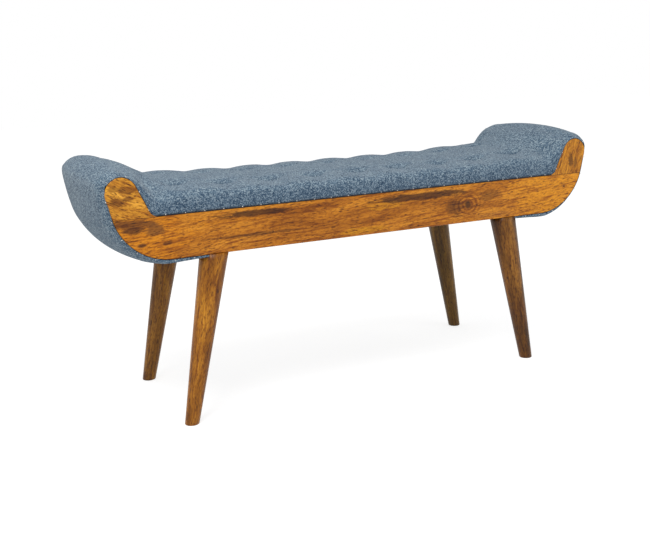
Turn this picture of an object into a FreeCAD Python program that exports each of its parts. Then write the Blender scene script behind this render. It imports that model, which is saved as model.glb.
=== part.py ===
import FreeCAD, Part
import math
import os

from FreeCAD import Vector

# Upholstered bench. Millimetres, +X along the length, +Y to the back, +Z up.
# The origin is on the floor, under the middle of the seat.

# Wooden side panels: a long rail with an ear glued on each end
bench_length = 1100.0
bench_depth = 326.0
rail_bottom = 340.0
rail_height = 83.0
rail_thickness = 25.0
end_arc_radius = 113.0
end_arc_setback = 120.0
ear_height = 78.0
ear_tip_radius = 30.0
ear_slope_angle = 65.0
ear_slope_foot = 85.5
ear_foot_radius = 22.0
ear_foot_angle = 12.0
rail_edge_bevel = 1.2

# Legs, round and tapered, cut flat at the floor and under the rails
leg_top_setback = 209.0
leg_top_inset = 23.0
leg_foot_setback = 141.0
leg_foot_inset = 13.5
leg_top_radius = 28.0
leg_foot_radius = 14.2
leg_foot_chamfer = 1.5

# Leg fixings: a hanger bolt in each leg, a threaded insert in the cross batten
bolt_radius = 4.0
bolt_inset = 16.0
bolt_depth_in_leg = 45.0
bolt_height_in_rail = 18.0
insert_radius = 6.0
insert_length = 16.0

# Cross battens between the rails
cross_rail_width = 66.0
cross_rail_height = 22.0
middle_rail_width = 22.0
middle_rail_height = 40.0

# Dowels
dowel_radius = 4.0
ear_dowel_depth = 20.0
ear_dowel_outer_offset = 26.0
ear_dowel_inner_offset = 58.0
dowel_depth_in_panel = 12.0
dowel_depth_in_batten = 28.0
cross_dowel_spacing = 36.0
middle_dowel_spacing = 20.0
arm_dowel_spacing = 22.0

# Seat deck and its cleats
deck_thickness = 12.0
deck_overlap = 8.0
cleat_size = 20.0
cleat_setback = 170.0

# Curved ends between the side panels
board_thickness = 6.0
arm_bar_depth = 42.0

# Wood screws
screw_radius = 2.0
screw_head_radius = 4.0
screw_head_height = 2.6
deck_screw_length = 26.0
cleat_screw_length = 36.0
screws_per_side = 4
screw_end_distance = 50.0

# Upholstery
pad_setback = 1.5
pad_joint_setback = 124.0
seat_crown = 45.0
seat_shoulder = 38.0
seat_wall = 26.0
seat_end_rise = 12.0
seat_level_length = 400.0
seat_roll = 18.0
foam_height = 25.0
foam_side = 11.5
end_foam_thickness = 7.0
foam_to_leg = 17.0
pad_root = 6.0
end_roll = 20.0
ramp_run = 82.0
ramp_crown = 92.5
ramp_shoulder = 84.0
ramp_wall = 80.5
end_crown = 23.5
end_shoulder = 16.5
end_wall = 9.5
under_run = 78.0

# Tufts: two rows sewn down with twine
tuft_columns = 9
tuft_end_setback = 150.0
tuft_row_y = 75.0
tuft_depth = 10.0
pleat_depth = 1.5
edge_dip = 3.5
seat_end_pull = 0.5
tie_radius = 1.2
tie_height_in_cover = 4.0
washer_radius = 11.0
washer_thickness = 2.0
knot_radius = 3.5
knot_height = 5.0

# Lining cloth under the seat
lining_thickness = 0.6
lining_to_batten = 8.0
lining_margin = 12.0
staple_width = 10.0
staple_wire_width = 1.0
staple_depth = 7.0
staples_per_side = 7
staple_end_distance = 30.0

# Clearances
wood_clearance = 0.3
soft_clearance = 0.3
fastener_clearance = 0.1

# Sides of the pieces that repeat, and of their holes: enough to be round to the hand on the
# legs, and few where nothing shows them
leg_sides = 32
dowel_sides = 6
screw_sides = 6
twine_sides = 4
washer_sides = 6

# Levels and faces that follow from the sizes above
rail_top = rail_bottom + rail_height
half_length = bench_length / 2
rail_face = bench_depth / 2
rail_inner = rail_face - rail_thickness
rail_middle = rail_face - rail_thickness / 2
batten_end = rail_inner - wood_clearance
pad_half = rail_face - pad_setback
deck_bottom = rail_top - deck_thickness
tip_x = half_length - ear_tip_radius
tip_z = rail_top + ear_height - ear_tip_radius
arc_x = half_length - end_arc_setback
arc_z = rail_bottom + end_arc_radius
slope_foot_x = half_length - ear_slope_foot
pad_joint_x = half_length - pad_joint_setback
leg_top_x = half_length - leg_top_setback
leg_foot_x = half_length - leg_foot_setback
cleat_half = half_length - cleat_setback
lining_half = leg_top_x - cross_rail_width / 2 - lining_to_batten
end_foam_stop = leg_top_x + leg_top_radius + foam_to_leg
leg_top_y = rail_face - leg_top_inset
leg_foot_y = rail_face - leg_foot_inset
bolt_y = leg_top_y - bolt_inset
tuft_pitch = 2 * (half_length - tuft_end_setback) / (tuft_columns - 1)
tuft_xs = [(i - (tuft_columns - 1) / 2) * tuft_pitch for i in range(tuft_columns)]
arm_bar_floor = tip_z + ear_tip_radius - arm_bar_depth
tie_top = rail_top + foam_height + tie_height_in_cover
washer_bottom = deck_bottom - washer_thickness


def xz(x, z):
    """A point of the side outline."""
    return Vector(x, 0, z)


def polar(x, z, radius, degrees):
    """A point on a circle of the side outline."""
    angle = math.radians(degrees)
    return xz(x + radius * math.cos(angle), z + radius * math.sin(angle))


def arc_edge(x, z, radius, start, end):
    """An arc of the side outline, given by its centre and two angles."""
    middle = polar(x, z, radius, (start + end) / 2)
    return Part.Arc(polar(x, z, radius, start), middle, polar(x, z, radius, end)).toShape()


def line_edge(a, b):
    return Part.LineSegment(a, b).toShape()


def prism(edges, y_from, y_to):
    """A side outline, drawn at y = 0, pushed out between two depths."""
    face = Part.Face(Part.Wire(Part.__sortEdges__(edges)))
    face.translate(Vector(0, y_from, 0))
    return face.extrude(Vector(0, y_to - y_from, 0))


def block(x0, x1, y0, y1, z0, z1):
    return Part.makeBox(x1 - x0, y1 - y0, z1 - z0, Vector(x0, y0, z0))


def rod(radius, start, end):
    """A round bar between two points."""
    return Part.makeCylinder(radius, (end - start).Length, start, end - start)


def polygon_corners(radius, centre, along, sides):
    """Corners of a regular polygon square to a direction, which may not be X."""
    level = (Vector(1, 0, 0) - along * along.x).normalize()
    across = along.cross(level)
    corners = []
    for i in range(sides):
        angle = 2 * math.pi * (i + 0.5) / sides
        corners.append(centre + level * (radius * math.cos(angle)) + across * (radius * math.sin(angle)))
    return corners


def flat_face(corners):
    return Part.Face(Part.makePolygon(corners + corners[:1]))


def flat_frustum(low, high):
    """A solid with flat sides between two polygons of the same shape."""
    faces = [flat_face(low), flat_face(high)]
    for i in range(len(low)):
        following = (i + 1) % len(low)
        faces.append(flat_face([low[i], low[following], high[following], high[i]]))
    solid = Part.makeSolid(Part.makeShell(faces))
    if solid.Volume < 0:
        solid.reverse()
    return solid


def stick(radius, start, end, sides):
    """A small bar between two points, with few sides."""
    along = (end - start).normalize()
    return flat_face(polygon_corners(radius, start, along, sides)).extrude(end - start)


def mirror_x(shape):
    return shape.mirror(Vector(0, 0, 0), Vector(1, 0, 0))


def mirror_y(shape):
    return shape.mirror(Vector(0, 0, 0), Vector(0, 1, 0))


def outer_tangent_angle():
    """Direction, in degrees, in which the straight outer side of an ear touches both of its circles."""
    dx = tip_x - arc_x
    dz = tip_z - arc_z
    swing = math.acos((end_arc_radius - ear_tip_radius) / math.hypot(dx, dz))
    return math.degrees(math.atan2(dz, dx) - swing)


side_angle = outer_tangent_angle()
slope_normal = 90.0 + ear_slope_angle
foot_low = ear_foot_angle - 90.0
foot_high = ear_slope_angle - 90.0
foot_z = rail_top - ear_foot_radius * math.sin(math.radians(foot_low))
foot_rise = foot_z + ear_foot_radius * math.sin(math.radians(foot_high)) - rail_top
foot_x = (
    slope_foot_x
    + foot_rise / math.tan(math.radians(ear_slope_angle))
    - ear_foot_radius * math.cos(math.radians(foot_high))
)


def end_outline(gap):
    """Edges of the right end, from the top of the rail over the ear to the underside, gap outside the wood."""
    tip = ear_tip_radius + gap
    low = end_arc_radius + gap
    foot = ear_foot_radius - gap
    start = polar(foot_x, foot_z, foot, foot_low)
    return start, [
        arc_edge(foot_x, foot_z, foot, foot_low, foot_high),
        line_edge(polar(foot_x, foot_z, foot, foot_high), polar(tip_x, tip_z, tip, slope_normal)),
        arc_edge(tip_x, tip_z, tip, slope_normal, side_angle),
        line_edge(polar(tip_x, tip_z, tip, side_angle), polar(arc_x, arc_z, low, side_angle)),
        arc_edge(arc_x, arc_z, low, side_angle, -90.0),
    ]


def panel_outline(gap):
    """Closed outline of a whole side panel, rail and both ears, gap outside the wood."""
    start, right = end_outline(gap)
    left = [mirror_x(edge) for edge in right]
    mirrored_start = xz(-start.x, start.z)
    bottom = arc_z - end_arc_radius - gap
    closing = [
        line_edge(mirrored_start, start),
        line_edge(xz(arc_x, bottom), xz(-arc_x, bottom)),
    ]
    return right + closing + left


def ear_side():
    """Half-space above the glue line, as a large block."""
    return block(-bench_length, bench_length, -bench_depth, bench_depth, rail_top, rail_top + bench_length)


def side_panel():
    """The front side panel before it is parted into rail and ears, its outer edges eased."""
    panel = prism(panel_outline(0.0), -rail_face, -rail_inner)
    eased = []
    for edge in panel.Edges:
        box = edge.BoundBox
        on_face = abs(box.YMin + rail_face) < 0.01 and abs(box.YMax + rail_face) < 0.01
        along_top = abs(box.ZMin - rail_top) < 0.01 and abs(box.ZMax - rail_top) < 0.01
        if on_face and not along_top:
            eased.append(edge)
    return panel.makeChamfer(rail_edge_bevel, eased)


def leg_taper(extra):
    """The front right leg's taper, extra wider all round and longer than the leg."""
    foot = Vector(leg_foot_x, -leg_foot_y, 0)
    top = Vector(leg_top_x, -leg_top_y, rail_bottom)
    run = (top - foot).Length
    axis = (top - foot) / run
    beyond = axis * leg_top_radius
    widening = (leg_top_radius - leg_foot_radius) * leg_top_radius / run
    low = polygon_corners(leg_foot_radius - widening + extra, foot - beyond, axis, leg_sides)
    high = polygon_corners(leg_top_radius + widening + extra, top + beyond, axis, leg_sides)
    return flat_frustum(low, high)


def at_corners(shape):
    """Copies of a front right piece at all four corners, by name."""
    front_left = mirror_x(shape)
    return {
        "front_right": shape,
        "front_left": front_left,
        "back_right": mirror_y(shape),
        "back_left": mirror_y(front_left),
    }


def hanger_bolt():
    return stick(
        bolt_radius,
        Vector(leg_top_x, -bolt_y, rail_bottom - bolt_depth_in_leg),
        Vector(leg_top_x, -bolt_y, rail_bottom + bolt_height_in_rail),
        dowel_sides,
    )


def bolt_hole():
    return stick(
        bolt_radius + fastener_clearance,
        Vector(leg_top_x, -bolt_y, rail_bottom - bolt_depth_in_leg - fastener_clearance),
        Vector(leg_top_x, -bolt_y, rail_top),
        dowel_sides,
    )


def insert_sleeve(extra):
    """The threaded insert, pressed into the underside of the cross batten."""
    return stick(
        insert_radius + extra,
        Vector(leg_top_x, -bolt_y, rail_bottom),
        Vector(leg_top_x, -bolt_y, rail_bottom + insert_length + extra),
        dowel_sides,
    )


def make_leg():
    slab = block(0, bench_length, -bench_depth, 0, 0, rail_bottom)
    leg = leg_taper(0.0).common(slab).cut(bolt_hole())
    foot_edges = [edge for edge in leg.Edges if edge.BoundBox.ZMax < 0.01]
    return leg.makeChamfer(leg_foot_chamfer, foot_edges)


def ear_dowels(extra):
    """Upright dowels in the glue joint under the front right ear."""
    y = -rail_middle
    dowels = []
    for offset in (ear_dowel_outer_offset, ear_dowel_inner_offset):
        x = half_length - offset
        low = Vector(x, y, rail_top - ear_dowel_depth - extra)
        high = Vector(x, y, rail_top + ear_dowel_depth + extra)
        dowels.append(stick(dowel_radius + extra, low, high, dowel_sides))
    return dowels


def end_dowels(x, z, spacing, extra):
    """Two level dowels that join a cross piece to the front panel."""
    outer = -rail_inner - dowel_depth_in_panel - extra
    inner = -rail_inner + dowel_depth_in_batten + extra
    dowels = []
    for side in (-1, 1):
        place = x + side * spacing / 2
        dowels.append(
            stick(dowel_radius + extra, Vector(place, outer, z), Vector(place, inner, z), dowel_sides)
        )
    return dowels


def cross_dowels(extra):
    """Dowels at both ends of the right leg batten and of the middle batten."""
    level = rail_bottom + cross_rail_height / 2
    middle_level = deck_bottom - cleat_size - middle_rail_height / 2
    leg_dowels = end_dowels(leg_top_x, level, cross_dowel_spacing, extra)
    middle_dowels = []
    for side in (-1, 1):
        z = middle_level + side * middle_dowel_spacing / 2
        middle_dowels += [end_dowels(0.0, z, 0.0, extra)[0]]
    both = leg_dowels + [mirror_x(d) for d in leg_dowels] + middle_dowels
    return both + [mirror_y(d) for d in both]


def arm_dowels(extra):
    dowels = end_dowels(tip_x, tip_z, arm_dowel_spacing, extra)
    both = dowels + [mirror_x(d) for d in dowels]
    return both + [mirror_y(d) for d in both]


def screw(head, direction, length, extra):
    """A countersunk screw whose flat head starts at a point and points along a direction."""
    neck = head + direction * screw_head_height
    wide = polygon_corners(screw_head_radius + extra, head, direction, screw_sides)
    narrow = polygon_corners(screw_radius + extra, neck, direction, screw_sides)
    cone = flat_frustum(wide, narrow)
    shank = stick(screw_radius + extra, neck, head + direction * (length + extra), screw_sides)
    return cone.fuse(shank)


def screw_xs(count):
    """Places of a row of screws. A shorter row sits halfway between the screws of the full one."""
    spacing = 2 * (cleat_half - screw_end_distance) / (screws_per_side - 1)
    return [(i - (count - 1) / 2) * spacing for i in range(count)]


def deck_screws(extra):
    down = Vector(0, 0, -1)
    y = rail_inner - cleat_size / 2
    xs = screw_xs(screws_per_side)
    front = [screw(Vector(x, -y, rail_top), down, deck_screw_length, extra) for x in xs]
    return front + [mirror_y(s) for s in front]


def cleat_screws(extra):
    """Level screws through the cleats into the rails, halfway between the deck screws."""
    outwards = Vector(0, -1, 0)
    z = deck_bottom - cleat_size / 2
    y = -rail_inner + cleat_size
    xs = screw_xs(screws_per_side - 1)
    front = [screw(Vector(x, y, z), outwards, cleat_screw_length, extra) for x in xs]
    return front + [mirror_y(s) for s in front]


def end_piece_profile(outer, inner, stop_x):
    """
    A bent strip that follows the outer side of the end, from the arm bar down and along the
    underside to stop_x. Its two faces lie outer and inner outside the wood's outline.
    """
    low_out = end_arc_radius + outer
    low_in = end_arc_radius + inner
    tip_out = ear_tip_radius + outer
    tip_in = ear_tip_radius + inner
    top_out = polar(tip_x, tip_z, tip_out, side_angle)
    top_in = polar(tip_x, tip_z, tip_in, side_angle)
    return [
        line_edge(top_in, top_out),
        line_edge(top_out, polar(arc_x, arc_z, low_out, side_angle)),
        arc_edge(arc_x, arc_z, low_out, side_angle, -90.0),
        line_edge(xz(arc_x, arc_z - low_out), xz(stop_x, arc_z - low_out)),
        line_edge(xz(stop_x, arc_z - low_out), xz(stop_x, arc_z - low_in)),
        line_edge(xz(stop_x, arc_z - low_in), xz(arc_x, arc_z - low_in)),
        arc_edge(arc_x, arc_z, low_in, -90.0, side_angle),
        line_edge(polar(arc_x, arc_z, low_in, side_angle), top_in),
    ]


def arm_bar_top():
    """Round bar with the ears' tip outline, flat below."""
    bar = rod(ear_tip_radius, Vector(tip_x, -batten_end, tip_z), Vector(tip_x, batten_end, tip_z))
    above = block(0, bench_length, -bench_depth, bench_depth, arm_bar_floor, rail_top + bench_length)
    return bar.common(above)


def end_shell():
    """Bent plywood between the panels, flush with their outline, from the bar to the leg batten."""
    stop = leg_top_x + cross_rail_width / 2 + wood_clearance
    strip = prism(end_piece_profile(0.0, -board_thickness, stop), -batten_end, batten_end)
    below = block(0, bench_length, -bench_depth, bench_depth, 0, arm_bar_floor - wood_clearance)
    return strip.common(below)


def slope_board():
    """Flat plywood under the inner slope of the arm, from the deck up to the bar."""
    slope = math.radians(ear_slope_angle)
    top = arm_bar_floor - wood_clearance
    low = rail_top + wood_clearance
    across = board_thickness / math.sin(slope)
    low_x = slope_foot_x + (low - rail_top) / math.tan(slope)
    top_x = slope_foot_x + (top - rail_top) / math.tan(slope)
    corners = [xz(low_x, low), xz(low_x + across, low), xz(top_x + across, top), xz(top_x, top)]
    edges = [line_edge(corners[i], corners[(i + 1) % 4]) for i in range(4)]
    return prism(edges, -batten_end, batten_end)


def deck_half():
    return slope_foot_x + deck_overlap


def tuft_places():
    return [(x, side * tuft_row_y) for x in tuft_xs for side in (-1, 1)]


def tie(x, y):
    """Twine from under the tuft down to the knot below its washer."""
    knot_floor = washer_bottom - knot_height
    twine = stick(tie_radius, Vector(x, y, washer_bottom), Vector(x, y, tie_top), twine_sides)
    knot = stick(knot_radius, Vector(x, y, knot_floor), Vector(x, y, washer_bottom), twine_sides)
    return twine.fuse(knot)


def tie_hole(x, y):
    return stick(
        tie_radius + soft_clearance,
        Vector(x, y, washer_bottom - knot_height),
        Vector(x, y, tie_top + soft_clearance),
        twine_sides,
    )


def washer(x, y):
    disc = stick(washer_radius, Vector(x, y, washer_bottom), Vector(x, y, deck_bottom), washer_sides)
    return disc.cut(tie_hole(x, y))


def section(place, rise, heights):
    """
    A closed cross-section of the padding. place is its point on the wood, rise the direction
    out of the wood, and heights the outline from one wall to the middle as (y, height) pairs.
    Every second pair of the whole outline is the middle of an arc.
    """

    def spot(y, height):
        return place + rise * height + Vector(0, y, 0)

    right = [spot(y, height) for y, height in heights]
    left = [spot(-y, height) for y, height in reversed(heights[:-1])]
    path = right + left
    right_root = spot(pad_half, -pad_root)
    left_root = spot(-pad_half, -pad_root)
    edges = [line_edge(left_root, right_root), line_edge(right_root, path[0])]
    for i in range(0, len(path) - 2, 2):
        edges.append(Part.Arc(path[i], path[i + 1], path[i + 2]).toShape())
    edges.append(line_edge(path[-1], left_root))
    return Part.Wire(edges)


def rolled_edge(wall, shoulder, roll):
    """Start, middle and end of the rounding between the wall and the top."""
    lean = 1 - math.sqrt(0.5)
    return [
        (pad_half, wall),
        (pad_half - roll * lean, wall + (shoulder - wall) * (1 - lean)),
        (pad_half - roll, shoulder),
    ]


def end_rise(x):
    """How much the seat climbs towards the arms."""
    level = seat_level_length / 2
    beyond = max(0.0, abs(x) - level) / (pad_joint_x - level)
    return seat_end_rise * beyond * beyond


def seat_section(x, pull):
    """
    Cross-section of the seat pad, its crown parted by two rows of tufts. pull is 1 at a column
    of tufts and 0 halfway between two columns.
    """
    dip = edge_dip * pull
    crown = seat_crown + end_rise(x) - dip / 2
    shoulder = seat_shoulder + end_rise(x) / 3 - dip
    inside = pad_half - seat_roll

    def swell(y):
        return crown - (crown - shoulder) * (y / inside) ** 2

    crest = (inside + tuft_row_y) / 2
    hollow = pleat_depth + (tuft_depth - pleat_depth) * pull
    heights = rolled_edge(seat_wall - dip / 2, shoulder, seat_roll)
    heights += [
        (crest, swell(crest)),
        (tuft_row_y, swell(tuft_row_y) - hollow),
        (0.0, crown),
    ]
    return section(xz(x, rail_top), Vector(0, 0, 1), heights)


def seat_form():
    """The whole seat pad, lofted through the columns of tufts and the places between them."""
    sections = []
    for i, x in enumerate(tuft_xs):
        if i > 0:
            sections.append(seat_section(x - tuft_pitch / 2, 0.0))
        sections.append(seat_section(x, 1.0))
    ends = [seat_section(side * pad_joint_x, seat_end_pull) for side in (-1, 1)]
    return Part.makeLoft([ends[0]] + sections + [ends[1]], True, True)


# Shape of the arm pad. Each row is a place, then how far the crown, the shoulder and the wall
# have come there: up the inner slope as shares of their climb from the seat to the tip
ramp_rows = (
    (0.00, 0.00, 0.00, 0.00),
    (0.17, 0.18, 0.07, 0.06),
    (0.34, 0.37, 0.21, 0.18),
    (0.51, 0.55, 0.45, 0.40),
    (0.68, 0.73, 0.68, 0.64),
    (0.85, 0.89, 0.87, 0.87),
    (1.00, 1.00, 1.00, 1.00),
)
# Round the tip and round the lower arc, by angle, as shares of the thickest place
tip_rows = (
    (90.0, 0.72, 0.58, 0.63),
    (68.0, 0.70, 0.56, 0.59),
    (46.0, 0.68, 0.55, 0.56),
    (25.0, 0.66, 0.56, 0.53),
    (4.0, 0.68, 0.61, 0.53),
)
arc_rows = (
    (-16.0, 0.81, 0.79, 0.74),
    (-32.0, 0.94, 0.94, 0.95),
    (-48.0, 1.00, 1.00, 1.00),
    (-64.0, 0.96, 0.94, 0.95),
    (-80.0, 0.85, 0.82, 0.84),
)
# Along the underside, by share of its run, as shares of the thickest place
under_rows = (
    (0.00, 0.77, 0.76, 0.79),
    (0.33, 0.64, 0.64, 0.68),
    (0.67, 0.47, 0.52, 0.58),
    (1.00, 0.34, 0.42, 0.47),
)


def end_section(place, rise, crown, shoulder, wall):
    """Cross-section of the padding round an end: rolled edges and one crown."""
    heights = rolled_edge(wall, shoulder, end_roll)
    inside = pad_half - end_roll
    heights.append((0.0, crown))
    return section(place, rise, heights)


def thickness_section(place, rise, shares):
    """Cross-section where the padding's heights are shares of its thickest place."""
    crown, shoulder, wall = shares
    return end_section(place, rise, crown * end_crown, shoulder * end_shoulder, wall * end_wall)


def end_form():
    """The padding round the right end, lofted from the seat over the arm to the underside."""
    up = Vector(0, 0, 1)
    start = (seat_crown + seat_end_rise, seat_shoulder + seat_end_rise / 3, seat_wall)
    finish = (ramp_crown, ramp_shoulder, ramp_wall)
    sections = []
    for along, *climbs in ramp_rows:
        heights = [low + (high - low) * climb for low, high, climb in zip(start, finish, climbs)]
        sections.append(end_section(xz(pad_joint_x + along * ramp_run, rail_top), up, *heights))
    for angle, *shares in tip_rows:
        place = polar(tip_x, tip_z, ear_tip_radius, angle)
        sections.append(thickness_section(place, polar(0, 0, 1, angle), shares))
    for angle, *shares in arc_rows:
        place = polar(arc_x, arc_z, end_arc_radius, angle)
        sections.append(thickness_section(place, polar(0, 0, 1, angle), shares))
    for along, *shares in under_rows:
        place = xz(arc_x - along * under_run, rail_bottom)
        sections.append(thickness_section(place, -up, shares))
    return Part.makeLoft(sections, True, True)


def frame_space():
    """Everything inside the side outline, as wide as the bench, with the padding's clearance."""
    return prism(panel_outline(soft_clearance), -bench_depth, bench_depth)


def seat_foam_block():
    half = pad_joint_x - soft_clearance
    side = pad_half - foam_side
    low = rail_top + soft_clearance
    return block(-half, half, -side, side, low, rail_top + foam_height)


def end_foam_band():
    """A strip of foam that follows the wood from the inner slope to the underside."""
    near = soft_clearance
    far = soft_clearance + end_foam_thickness
    side = pad_half - foam_side
    strip = prism(end_piece_profile(far, near, end_foam_stop), -side, side)
    outer = rod(ear_tip_radius + far, Vector(tip_x, -side, tip_z), Vector(tip_x, side, tip_z))
    inner = rod(ear_tip_radius + near, Vector(tip_x, -side, tip_z), Vector(tip_x, side, tip_z))
    ring = outer.cut(inner)
    high = rail_top + bench_length
    over = ring.common(block(0, bench_length, -bench_depth, bench_depth, tip_z, high))
    side_low = polar(tip_x, tip_z, ear_tip_radius + far, side_angle)
    wrap = ring.common(block(tip_x, bench_length, -bench_depth, bench_depth, side_low.z, high))
    return strip.fuse([over, wrap]).cut(frame_space())


def lining():
    reach = rail_face - lining_margin
    top = rail_bottom
    return block(-lining_half, lining_half, -reach, reach, top - lining_thickness, top)


def staple(x, y, extra):
    """One wire staple below the lining, its two prongs up in the rail."""
    wire = staple_wire_width / 2 + extra
    half = staple_width / 2
    top = rail_bottom - lining_thickness
    low = top - staple_wire_width
    crown = block(x - half - wire, x + half + wire, y - wire, y + wire, low, top)
    prongs = []
    for middle in (x - half, x + half):
        prongs.append(
            block(middle - wire, middle + wire, y - wire, y + wire, low, top + staple_depth + extra)
        )
    return crown.fuse(prongs).removeSplitter()


def staples(extra):
    """Wire staples that hold the lining to the rails' lower edges."""
    spacing = 2 * (lining_half - staple_end_distance) / (staples_per_side - 1)
    xs = [(i - (staples_per_side - 1) / 2) * spacing for i in range(staples_per_side)]
    return [staple(x, side * rail_middle, extra) for side in (-1, 1) for x in xs]


def build():
    parts = {}

    # Side panels, parted at the glue line
    panel = side_panel()
    above = ear_side()
    rail = panel.cut(above)
    ears = panel.common(above)
    right_ear = [s for s in ears.Solids if s.CenterOfMass.x > 0][0]
    ear_holes = ear_dowels(fastener_clearance)
    joint_holes = cross_dowels(fastener_clearance) + arm_dowels(fastener_clearance)
    rail_holes = ear_holes + [mirror_x(h) for h in ear_holes] + joint_holes
    front_rail = rail.cut(rail_holes).cut(cleat_screws(fastener_clearance) + staples(fastener_clearance))
    parts["front_rail"] = front_rail
    parts["back_rail"] = mirror_y(rail.cut(rail_holes)).cut(
        cleat_screws(fastener_clearance) + staples(fastener_clearance)
    )
    for corner, ear in at_corners(right_ear.cut(ear_holes + arm_dowels(fastener_clearance))).items():
        parts[corner + "_ear"] = ear
    corner_dowels = [at_corners(d) for d in ear_dowels(0.0)]
    parts["ear_dowels"] = Part.Compound([d for group in corner_dowels for d in group.values()])

    # Cross battens and bars between the panels
    half_width = cross_rail_width / 2
    leg_rail = block(
        leg_top_x - half_width, leg_top_x + half_width, -batten_end, batten_end,
        rail_bottom, rail_bottom + cross_rail_height,
    )
    insert_hole = insert_sleeve(fastener_clearance)
    hole = bolt_hole()
    leg_rail = leg_rail.cut([insert_hole, mirror_y(insert_hole), hole, mirror_y(hole)])
    leg_rail = leg_rail.cut(cross_dowels(fastener_clearance))
    parts["right_leg_rail"] = leg_rail
    parts["left_leg_rail"] = mirror_x(leg_rail)
    middle_top = deck_bottom - cleat_size
    parts["middle_rail"] = block(
        -middle_rail_width / 2, middle_rail_width / 2, -batten_end, batten_end,
        middle_top - middle_rail_height, middle_top,
    ).cut(cross_dowels(fastener_clearance))
    parts["cross_rail_dowels"] = Part.Compound(cross_dowels(0.0))
    arm_bar = arm_bar_top().cut(arm_dowels(fastener_clearance))
    parts["right_arm_bar"] = arm_bar
    parts["left_arm_bar"] = mirror_x(arm_bar)
    parts["arm_bar_dowels"] = Part.Compound(arm_dowels(0.0))
    shell = end_shell()
    parts["right_end_shell"] = shell
    parts["left_end_shell"] = mirror_x(shell)
    board = slope_board()
    parts["right_slope_board"] = board
    parts["left_slope_board"] = mirror_x(board)

    # Seat deck on its cleats
    tie_holes = [tie_hole(x, y) for x, y in tuft_places()]
    half = deck_half()
    deck = block(-half, half, -batten_end, batten_end, deck_bottom, rail_top)
    parts["seat_deck"] = deck.cut(tie_holes + deck_screws(fastener_clearance))
    cleat = block(
        -cleat_half, cleat_half, -rail_inner, -rail_inner + cleat_size,
        deck_bottom - cleat_size, deck_bottom,
    )
    holes = deck_screws(fastener_clearance) + cleat_screws(fastener_clearance)
    parts["front_deck_cleat"] = cleat.cut(holes)
    parts["back_deck_cleat"] = mirror_y(cleat).cut(holes)
    parts["deck_screws"] = Part.Compound(deck_screws(0.0))
    parts["cleat_screws"] = Part.Compound(cleat_screws(0.0))

    # Legs
    for corner, leg in at_corners(make_leg()).items():
        parts[corner + "_leg"] = leg
    parts["leg_bolts"] = Part.Compound(list(at_corners(hanger_bolt()).values()))
    sleeve = insert_sleeve(0.0).cut(bolt_hole())
    parts["leg_inserts"] = Part.Compound(list(at_corners(sleeve).values()))

    # Upholstery
    wood = frame_space()
    ties_clear = [tie_hole(x, y) for x, y in tuft_places()]
    foam = seat_foam_block()
    parts["seat_foam"] = foam.cut(ties_clear)
    parts["seat_cover"] = seat_form().cut(wood).cut(foam).cut(ties_clear)
    band = end_foam_band()
    parts["right_end_foam"] = band
    parts["left_end_foam"] = mirror_x(band)
    legs_clear = leg_taper(soft_clearance)
    end_cover = end_form().cut(wood).cut(band).cut([legs_clear, mirror_y(legs_clear)])
    parts["right_end_cover"] = end_cover
    parts["left_end_cover"] = mirror_x(end_cover)
    parts["tuft_ties"] = Part.Compound([tie(x, y) for x, y in tuft_places()])
    parts["tuft_washers"] = Part.Compound([washer(x, y) for x, y in tuft_places()])

    # Lining
    parts["dust_cover"] = lining().cut(staples(fastener_clearance))
    parts["dust_cover_staples"] = Part.Compound(staples(0.0))
    return parts


os.makedirs("parts", exist_ok=True)
for name, shape in build().items():
    shape.exportStep("parts/" + name + ".step")
    box = shape.BoundBox
    print(
        f"{name}: solids {len(shape.Solids)}, valid {shape.isValid()}, volume {shape.Volume:.0f}, "
        f"x {box.XMin:.1f}..{box.XMax:.1f}, y {box.YMin:.1f}..{box.YMax:.1f}, z {box.ZMin:.1f}..{box.ZMax:.1f}"
    )
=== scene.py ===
# %% [markdown]
# An upholstered bench in tweed and oiled hardwood.
# The construction is fixed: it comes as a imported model, in metres, with every rail, ear and leg in its place.
# This lesson dresses it. Wood gets its grain, the padding is built as one tufted cover, and the light is
# plain.

import math

import bpy
import numpy as np
from mathutils import Matrix, Vector


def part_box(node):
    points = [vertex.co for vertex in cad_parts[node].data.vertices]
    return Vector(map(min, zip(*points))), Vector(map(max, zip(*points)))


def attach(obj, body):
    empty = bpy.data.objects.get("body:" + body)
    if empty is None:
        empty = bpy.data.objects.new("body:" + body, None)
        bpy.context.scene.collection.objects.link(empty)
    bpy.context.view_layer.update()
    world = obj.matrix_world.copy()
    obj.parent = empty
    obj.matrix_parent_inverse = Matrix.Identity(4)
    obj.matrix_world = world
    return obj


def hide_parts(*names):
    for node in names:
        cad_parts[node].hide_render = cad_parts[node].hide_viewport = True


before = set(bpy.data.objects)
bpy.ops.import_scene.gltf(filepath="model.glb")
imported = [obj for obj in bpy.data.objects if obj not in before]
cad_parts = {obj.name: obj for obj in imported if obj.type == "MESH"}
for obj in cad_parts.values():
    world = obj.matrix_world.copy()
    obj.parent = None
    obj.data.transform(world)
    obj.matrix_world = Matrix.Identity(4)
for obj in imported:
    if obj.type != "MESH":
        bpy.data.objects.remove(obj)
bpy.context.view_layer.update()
print("nodes:", len(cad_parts))

# %% [markdown]
# The photograph shows the bench from its left front corner, a little from above.
# A camera is a place, a direction and a focal length. Its roll is small but real, so it is kept.

# %% Camera


def add_object(name, data):
    """A new object, put in the scene."""
    made = bpy.data.objects.new(name, data)
    bpy.context.scene.collection.objects.link(made)
    return made


PHOTO_WIDTH = 650
camera_place = Vector((-0.9565, -1.891, 0.7427))
camera_yaw = math.radians(25.98)
camera_pitch = math.radians(13.908)
camera_roll = math.radians(-1.421)
focal_pixels = 973.4

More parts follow.
